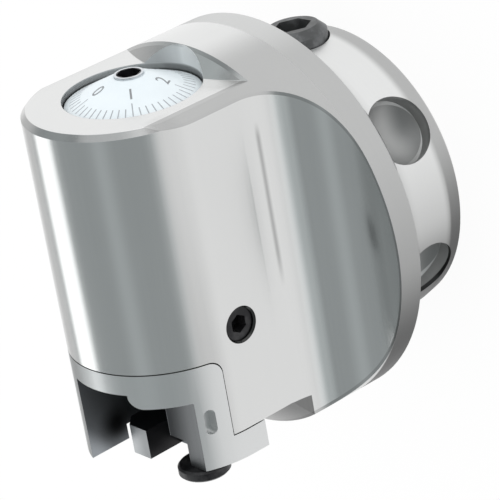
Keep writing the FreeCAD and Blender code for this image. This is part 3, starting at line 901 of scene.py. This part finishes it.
@dataclass(frozen=True)
class Ink(Finish):
    """Filled engraving of the dial's marks."""

    colour: Colour
    lightest: float = 1.6
    roughness: float = 0.6
    relief: float = 0.003 * MM

    def build(self, shader: Shader) -> None:
        """Fill the material's node tree.

        Args:
            shader: The tree to fill.
        """
        cloud = shader.noise(shader.place(), scale=900.0, detail=2.0)
        colour = shader.blend(cloud, self.colour, scaled(self.colour, self.lightest))
        shader.surface(base_color=colour, roughness=self.roughness,
                       normal=shader.bump(cloud, self.relief))


@dataclass(frozen=True)
class BallSteel(Finish):
    """Lapped bearing balls."""

    colour: Colour = (0.74, 0.75, 0.77)
    darkest: float = 0.92
    roughness: float = 0.07
    relief: float = 0.0005 * MM

    def build(self, shader: Shader) -> None:
        """Fill the material's node tree.

        Args:
            shader: The tree to fill.
        """
        cloud = shader.noise(shader.place(), scale=900.0, detail=2.0)
        colour = shader.blend(cloud, scaled(self.colour, self.darkest), self.colour)
        shader.surface(base_color=colour, metallic=1.0,
                       roughness=cloud.swing(0.05) + self.roughness,
                       normal=shader.bump(cloud, self.relief))


HEAD_FINISH = FlangeSteel("bright machined steel", Slot.HEAD_STEEL)
SLIDE_FINISH = SlideSteel("satin slide steel", Slot.SLIDE_STEEL)
GROUND_FINISH = GroundSteel("ground steel", Slot.GROUND_STEEL)
KEY_FINISH = KeySteel("hardened key steel", Slot.GROUND_STEEL)
BLACK_FINISH = Mottled(
    "black oxide", Slot.BLACK_STEEL, colour=(0.012, 0.012, 0.014), mottle=(0.05, 0.05, 0.052),
    cloud=Grain(scale=260.0, detail=4.0, roughness=0.6), grain=Grain(scale=2600.0, detail=2.0),
    mix=Band(0.40, 0.72), roughness=0.38, roughness_swing=0.2, relief=0.004 * MM,
    metallic=0.55, cloud_in_sheen=True)
CLAMP_FINISH = replace(BLACK_FINISH, name="grey oxide", colour=(0.085, 0.088, 0.090),
                       mottle=(0.17, 0.175, 0.18), roughness=0.42)
DIAL_SCREW_FINISH = FacedScrew("faced dial screw", Slot.BLACK_STEEL)
DIAL_FINISH = Mottled(
    "dial white", Slot.DIAL_WHITE, colour=(0.80, 0.87, 0.905), mottle=(0.73, 0.80, 0.84),
    cloud=Grain(scale=90.0, detail=3.0), grain=Grain(scale=3000.0, detail=2.0),
    mix=Band(0.35, 0.75, 0.0, 0.6), roughness=0.34, roughness_swing=0.1, relief=0.0015 * MM)
NUMBER_FINISH = Ink("number fill", Slot.BLACK_STEEL, colour=(0.20, 0.21, 0.22))
TICK_FINISH = Ink("tick fill", Slot.BLACK_STEEL, colour=(0.30, 0.32, 0.34))
BRONZE_FINISH = Mottled(
    "bearing bronze", Slot.BRONZE, colour=(0.62, 0.44, 0.20), mottle=(0.44, 0.29, 0.13),
    cloud=Grain(scale=160.0, detail=4.0),
    grain=Grain(scale=3.0, detail=3.0, stretch=(700.0, 15.0, 15.0)),
    mix=Band(0.35, 0.7), roughness=0.34, roughness_swing=0.2, relief=0.003 * MM, metallic=1.0)
RUBBER_FINISH = Mottled(
    "seal rubber", Slot.SEAL_RUBBER, colour=(0.018, 0.018, 0.020), mottle=(0.045, 0.045, 0.048),
    cloud=Grain(scale=400.0, detail=3.0), grain=Grain(scale=4000.0, detail=2.0),
    mix=Band(0.4, 0.7), roughness=0.62, roughness_swing=0.1, relief=0.006 * MM)
BALL_FINISH = BallSteel("lapped ball steel", Slot.BALL_STEEL)


# ---------------------------------------------------------------- modelling


def deselect_all() -> None:
    """Leave nothing selected and no object in edit mode."""
    if bpy.context.object is not None and bpy.context.object.mode != "OBJECT":
        bpy.ops.object.mode_set(mode="OBJECT")
    bpy.ops.object.select_all(action="DESELECT")


def pick(*things: bpy.types.Object) -> None:
    """Select these objects only.

    Args:
        *things: The objects; the first one becomes the active one.
    """
    deselect_all()
    for thing in things:
        thing.select_set(True)
    bpy.context.view_layer.objects.active = things[0]


def settle(thing: bpy.types.Object) -> bpy.types.Object:
    """Move the object's place and size into its mesh.

    Args:
        thing: The object to settle.

    Returns:
        The same object, at the origin and at size 1.
    """
    bpy.context.view_layer.update()
    thing.data.transform(thing.matrix_world)
    thing.matrix_world = Matrix.Identity(4)
    return thing


def joined(things: list[bpy.types.Object], name: str) -> bpy.types.Object:
    """Join settled objects into one piece.

    Args:
        things: The objects; the first one is kept.
        name: The piece's name.

    Returns:
        The joined piece.
    """
    pick(*things)
    bpy.ops.object.join()
    piece = bpy.context.object
    piece.name = name
    piece.data.name = name
    return piece


def stand(spot: Vector, right: Vector, up: Vector, back: Vector) -> Matrix:
    """Return the frame that stands at a spot.

    Args:
        spot: The frame's origin.
        right: Its x axis.
        up: Its y axis.
        back: Its z axis.

    Returns:
        The frame's matrix.
    """
    return Matrix.Translation(spot) @ Matrix((right, up, back)).transposed().to_4x4()


def add_piece(piece: bpy.types.Object, body: Body, finish: Finish) -> None:
    """Dress a new piece and make it ride on its body.

    Args:
        piece: The finished piece.
        body: The body that it moves with.
        finish: Its finish.
    """
    finish.dress(piece)
    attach(piece, body.value)
    log.info("%s rides on %s with %d faces", piece.name, body.value, len(piece.data.polygons))


@dataclass
class DialFace:
    """The dial's cone and what is marked on it."""

    node: str = "graduated_dial"
    hub_radius: float = 3.9 * MM
    crown: float = 5.4 * MM
    divisions: int = 50
    numbered_every: int = 10
    first_angle: float = -50.9
    tick_width: float = 0.26 * MM
    tick_rounding: float = 0.45
    tick_segments: int = 3
    tick_outer: float = 14.5 * MM
    tick_inner: float = 11.6 * MM
    long_tick_inner: float = 10.0 * MM
    digit_height: float = 3.4 * MM
    font_over_digit: float = 1.4
    font_segments: int = 4
    digit_radius: float = 7.9 * MM
    proud: float = 0.03 * MM
    axis: Vector = field(init=False)
    rim_radius: float = field(init=False)
    rim_x: float = field(init=False)

    def __post_init__(self) -> None:
        """Read the cone's size from its solid."""
        low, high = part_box(self.node)
        self.axis = Vector((0.0, (low.y + high.y) / 2, (low.z + high.z) / 2))
        self.rim_radius = (high.y - low.y) / 2
        self.rim_x = high.x - self.crown

    def slope(self) -> float:
        """Return the cone's rise angle, in radians."""
        return math.atan2(self.crown, self.rim_radius - self.hub_radius)

    def seat(self, radius: float, angle: float) -> Matrix:
        """Return the frame of a spot on the cone: x along the rim, y up the cone, z out of it.

        Args:
            radius: Distance from the dial's axis.
            angle: Degrees about the dial's axis, from +Z towards +Y.

        Returns:
            The matrix that puts a flat mark there.
        """
        turn = math.radians(angle)
        out = Vector((0.0, math.sin(turn), math.cos(turn)))
        rise = self.slope()
        up = Vector((math.sin(rise), 0.0, 0.0)) - out * math.cos(rise)
        normal = Vector((math.cos(rise), 0.0, 0.0)) + out * math.sin(rise)
        x = self.rim_x + (self.rim_radius - radius) * math.tan(rise)
        spot = self.axis + out * radius + Vector((x, 0.0, 0.0))
        return stand(spot, up.cross(normal), up, normal)

    def tick(self, length: float) -> bpy.types.Object:
        """Model one mark, flat in its own x and y, with rounded ends.

        Args:
            length: Its length along y, upwards from the origin.

        Returns:
            The mark, ready to be copied.
        """
        deselect_all()
        bpy.ops.mesh.primitive_cube_add(size=1.0, location=(0.0, length / 2, 0.0))
        made = bpy.context.object
        made.scale = (self.tick_width, length, 2 * self.proud)
        settle(made)
        pick(made)
        bpy.ops.object.mode_set(mode="EDIT")
        bpy.ops.mesh.select_mode(type="EDGE")
        bpy.ops.mesh.select_all(action="DESELECT")
        bpy.ops.object.mode_set(mode="OBJECT")
        for edge in made.data.edges:
            a, b = (made.data.vertices[k].co for k in edge.vertices)
            edge.select = abs(a.z - b.z) > self.proud
        bpy.ops.object.mode_set(mode="EDIT")
        bpy.ops.mesh.bevel(offset=self.tick_width * self.tick_rounding,
                           segments=self.tick_segments, affect="EDGES")
        bpy.ops.object.mode_set(mode="OBJECT")
        return made

    def ticks(self) -> bpy.types.Object:
        """Model every mark round the rim.

        Returns:
            The marks as one piece.
        """
        short = self.tick(self.tick_outer - self.tick_inner)
        long = self.tick(self.tick_outer - self.long_tick_inner)
        copies = []
        for k in range(self.divisions):
            master = short if k % self.numbered_every else long
            made = master.copy()
            made.data = master.data.copy()
            bpy.context.scene.collection.objects.link(made)
            angle = self.first_angle + k * 360.0 / self.divisions
            made.data.transform(self.seat(self.tick_outer, angle))
            copies.append(made)
        for master in (short, long):
            bpy.data.objects.remove(master)
        return joined(copies, "dial_ticks")

    def digits(self) -> bpy.types.Object:
        """Model the plain numbers above the long marks, which count up from 0.

        Returns:
            The numbers as one piece.
        """
        made = []
        count = self.divisions // self.numbered_every
        for k in range(count):
            deselect_all()
            bpy.ops.object.text_add(location=(0.0, 0.0, 0.0))
            text = bpy.context.object
            text.data.body = str((1 + k) % count)
            text.data.align_x = "CENTER"
            text.data.align_y = "CENTER"
            text.data.size = self.digit_height * self.font_over_digit
            text.data.extrude = self.proud
            text.data.resolution_u = self.font_segments
            pick(text)
            bpy.ops.object.convert(target="MESH")
            text = bpy.context.object
            angle = self.first_angle - k * 360.0 * self.numbered_every / self.divisions
            text.data.transform(self.seat(self.digit_radius, angle))
            made.append(text)
        return joined(made, "dial_numbers")

    def build(self) -> None:
        """Model and dress the dial's marks."""
        add_piece(self.ticks(), Body.MICROMETER, TICK_FINISH)
        add_piece(self.digits(), Body.MICROMETER, NUMBER_FINISH)


@dataclass
class SolidNodes:
    """The solids that show as they are, with their finishes."""

    finishes: dict[str, Finish] = field(default_factory=lambda: {
        "head_body": HEAD_FINISH,
        "tool_slide": SLIDE_FINISH,
        "graduated_dial": DIAL_FINISH,
        "micrometer_screw": DIAL_SCREW_FINISH,
        "coupling_clamp_screw": CLAMP_FINISH,
        "holder_key": KEY_FINISH,
        "thrust_balls": BALL_FINISH,
        **dict.fromkeys(("lock_screw", "holder_clamp_screw", "key_screw", "bearing_nut",
                         "nut_retainer"), BLACK_FINISH),
        **dict.fromkeys(("index_ring", "thrust_race", "thrust_washer", "preload_springs",
                         "slide_key", "drive_bushes", "coolant_bush"), GROUND_FINISH),
        **dict.fromkeys(("ball_cage", "dial_bush", "slide_nut", "lock_pad", "clamp_thrust_pad",
                         "coolant_nozzle"), BRONZE_FINISH),
        **dict.fromkeys(("dial_seal", "slide_seal", "coolant_seal"), RUBBER_FINISH),
    })

    def build(self) -> None:
        """Dress every solid."""
        for name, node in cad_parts.items():
            self.finishes[name].dress(node)
            log.info("%s dressed in %s", name, self.finishes[name].name)


# ---------------------------------------------------------------- studio


@dataclass(frozen=True)
class SoftBox:
    """A rectangular lamp that faces the object; a radiance of 1 is white."""

    name: str
    towards: tuple[float, float, float]
    distance: float
    width: float
    height: float
    radiance: float

    def hang(self, centre: Vector) -> None:
        """Add the lamp to the scene.

        Args:
            centre: The spot that it faces.
        """
        data = bpy.data.lights.new(self.name, "AREA")
        data.shape = "RECTANGLE"
        data.size, data.size_y = self.width, self.height
        data.energy = self.radiance * math.pi * self.width * self.height
        lamp = bpy.data.objects.new(self.name, data)
        bpy.context.scene.collection.objects.link(lamp)
        aim = Vector(self.towards).normalized()
        side = Vector((0.0, 0.0, 1.0)).cross(aim).normalized()
        lamp.matrix_world = stand(centre + aim * self.distance, side, aim.cross(side), aim)


@dataclass
class Studio:
    """Floor, world, soft boxes and camera."""

    floor_size: float = 24.0
    floor_drop: float = 0.05 * MM
    floor_colour: Colour = (0.90, 0.90, 0.90)
    floor_white: float = 0.94
    far_floor: Band = Band(0.12, 0.60, 1.0, 0.62)

    horizon_low: ClassVar[float] = 0.08
    horizon_high: ClassVar[float] = 0.34
    room_light: Band = Band(horizon_low, horizon_high, 0.97, 0.375)
    room_cool: Band = Band(horizon_low, horizon_high)
    room_tint: Colour = (0.93, 1.0, 1.01)
    far_wall: Band = Band(0.70, 0.95, 1.0, 0.66)
    window_side: float = 0.25
    window_falloff: float = 4.0
    window: Band = Band(0.0, 1.0, 0.0, 0.12)
    window_rise: Band = Band(0.4, 0.8)

    centre: Vector = field(default_factory=lambda: Vector((0.0, 0.0, 0.045)))
    boxes: tuple[SoftBox, ...] = (
        SoftBox("strip box", (-0.41, 0.75, 0.50), distance=1.5, width=2.0, height=0.66,
                radiance=1.36),
        SoftBox("key box", (0.86, -0.20, 0.46), distance=1.4, width=1.4, height=1.2,
                radiance=0.65))

    lens: float = 223.2
    sensor_width: float = 36.0
    eye: tuple[float, float, float] = (0.2911, -0.5302, 0.4475)
    eye_back: tuple[float, float, float] = (0.4072, -0.7220, 0.5594)
    eye_right: tuple[float, float, float] = (-0.1585, -0.6590, -0.7353)

    def floor(self) -> None:
        """Lay the pale floor: it keeps the shadow and stays near white to the eye and in metal."""
        deselect_all()
        bpy.ops.mesh.primitive_grid_add(x_subdivisions=2, y_subdivisions=2, size=self.floor_size,
                                        location=(0.0, 0.0, -self.floor_drop))
        floor = settle(bpy.context.object)
        floor.name = "floor"
        made = bpy.data.materials.new("pale floor")
        made.use_nodes = True
        shader = Shader(made.node_tree)
        rays = shader.node("ShaderNodeLightPath").outputs
        camera = shader.value(rays["Is Camera Ray"])
        seen = camera.most(shader.value(rays["Is Glossy Ray"])).most(
            shader.value(rays["Is Transmission Ray"]))
        matt = shader.node("ShaderNodeBsdfDiffuse", inputs={"Color": self.floor_colour})
        _, y, _ = shader.axes(shader.place())
        strength = camera + (1 - camera) * self.far_floor.over(y)
        glow = shader.node("ShaderNodeEmission", inputs={"Color": WHITE, "Strength": strength})
        mix = shader.node("ShaderNodeMixShader", inputs={
            0: seen * self.floor_white, 1: matt.outputs[0], 2: glow.outputs[0]})
        shader.node("ShaderNodeOutputMaterial", inputs={"Surface": mix.outputs[0]})
        floor.data.materials.append(made)

    def world(self) -> None:
        """Light the room: bright walls low down, a dim ceiling, and white behind the object."""
        world = bpy.data.worlds.new("studio")
        bpy.context.scene.world = world
        world.use_nodes = True
        shader = Shader(world.node_tree)
        _, y, z = shader.axes(shader.node("ShaderNodeTexCoord").outputs["Generated"])
        rays = shader.node("ShaderNodeLightPath").outputs
        plain = shader.value(rays["Is Camera Ray"]).most(shader.value(rays["Is Diffuse Ray"]))
        window = self.window.over(1 - abs(y + self.window_side) * self.window_falloff)
        level = self.room_light.over(z) + window * self.window_rise.over(z)
        level = level * self.far_wall.over(y)
        level = level * (1 - plain) + plain
        tint = shader.blend(self.room_cool.over(z) * (1 - plain), WHITE, self.room_tint)
        glow = shader.node("ShaderNodeBackground", inputs={"Color": tint, "Strength": level})
        shader.node("ShaderNodeOutputWorld", inputs={"Surface": glow.outputs[0]})

    def camera(self) -> None:
        """Place the camera: at the lock screw's side, above, rolled so that the dial is on top."""
        data = bpy.data.cameras.new("camera")
        data.lens = self.lens
        data.sensor_width = self.sensor_width
        camera = bpy.data.objects.new("camera", data)
        bpy.context.scene.collection.objects.link(camera)
        back = Vector(self.eye_back).normalized()
        up = back.cross(Vector(self.eye_right)).normalized()
        camera.matrix_world = stand(Vector(self.eye), up.cross(back).normalized(), up, back)
        bpy.context.scene.camera = camera

    def build(self) -> None:
        """Set up the whole studio."""
        bpy.context.scene.view_settings.view_transform = "Standard"
        self.floor()
        self.world()
        for box in self.boxes:
            box.hang(self.centre)
        self.camera()


def main() -> None:
    """Build the studio, dress the solids and model the marks."""
    logging.basicConfig(level=logging.INFO, format="%(name)s: %(message)s")
    for part in (Studio(), SolidNodes(), DialFace()):
        part.build()
    deselect_all()


if __name__ == "__main__":
    main()
